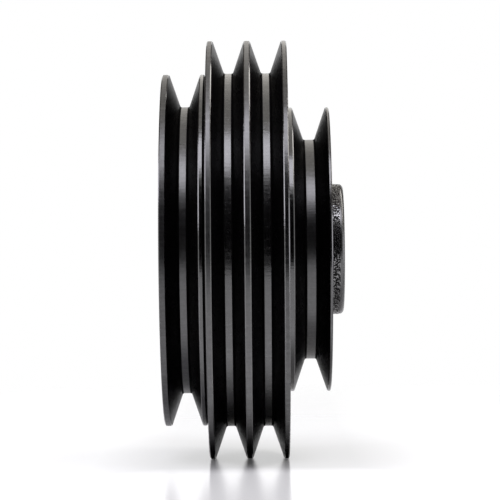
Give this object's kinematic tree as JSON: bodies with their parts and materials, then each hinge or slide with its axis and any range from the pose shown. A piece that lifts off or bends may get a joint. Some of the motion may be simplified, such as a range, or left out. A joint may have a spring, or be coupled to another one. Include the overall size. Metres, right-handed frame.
{
  "type": "crankshaft pulley",
  "caption": "Crankshaft pulley for V-belts: one black cast iron piece with turned grooves on stepped diameters, a web and a keyed hub boss.",
  "frame": {"origin": "on the axis, in the plane of the end face of the first flange, which the pulley stands on", "axes": "+Z is the crankshaft's axis and points to the end with the hub boss; the keyway is on the +Y side of the bore"},
  "size_m": [0.179, 0.179, 0.0767],
  "materials": {
    "black_coated_iron": "satin black coating over turned iron, with rough cast skin on the hub boss and in the recesses"
  },
  "bodies": {
    "root": {"crankshaft_pulley": "black_coated_iron"}
  },
  "joints": []
}
